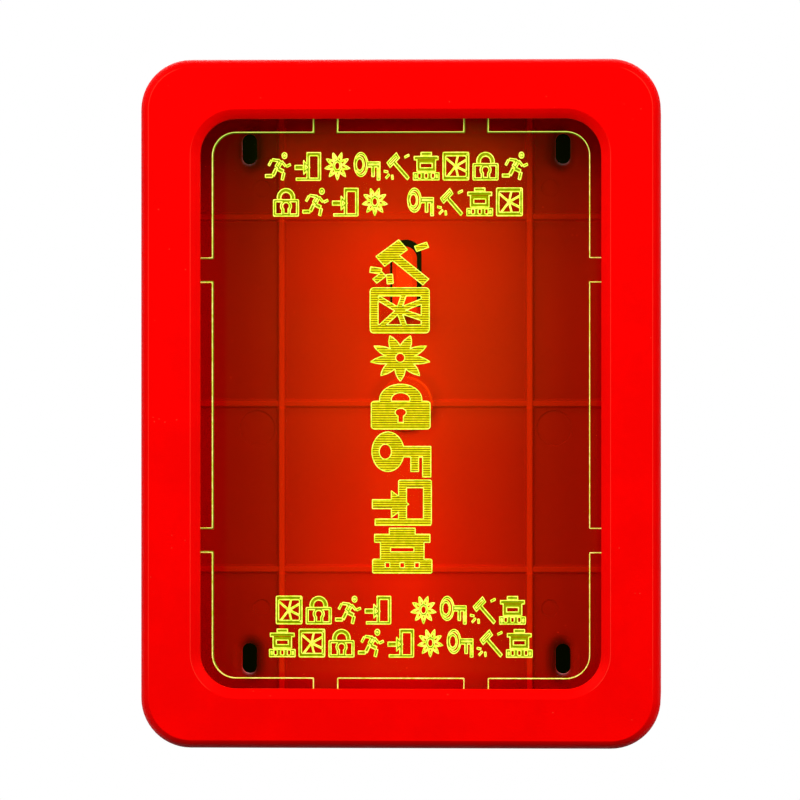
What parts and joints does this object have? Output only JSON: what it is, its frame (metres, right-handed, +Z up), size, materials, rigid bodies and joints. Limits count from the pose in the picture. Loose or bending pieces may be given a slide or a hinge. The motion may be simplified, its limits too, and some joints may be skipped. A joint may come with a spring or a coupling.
{
  "type": "break glass key box",
  "caption": "Upright wall box with a key hook behind a clear push-in panel on breakaway tabs, held by a front frame that snaps over the tray.",
  "frame": {"origin": "middle of the box on the wall plane", "axes": "+Z up the wall, +X to the viewer's right, -Y out of the front, +Y into the wall"},
  "size_m": [0.151, 0.04, 0.2],
  "materials": {
    "red_plastic": "satin, coloured through, as moulded",
    "edge_glow_acrylic": "clear fluorescent yellow-green sheet with laser-cut edges"
  },
  "bodies": {
    "box": {"back_box": "red_plastic"},
    "cover": {"front_frame": "red_plastic", "break_panel": "edge_glow_acrylic", "snap_latches": "red_plastic"}
  },
  "joints": [
    {"name": "cover_pull", "type": "slide", "parent": "box", "child": "cover", "axis": [0, -1, 0], "range_m": [0, 0.06], "deforming": ["snap_latches"]}
  ]
}
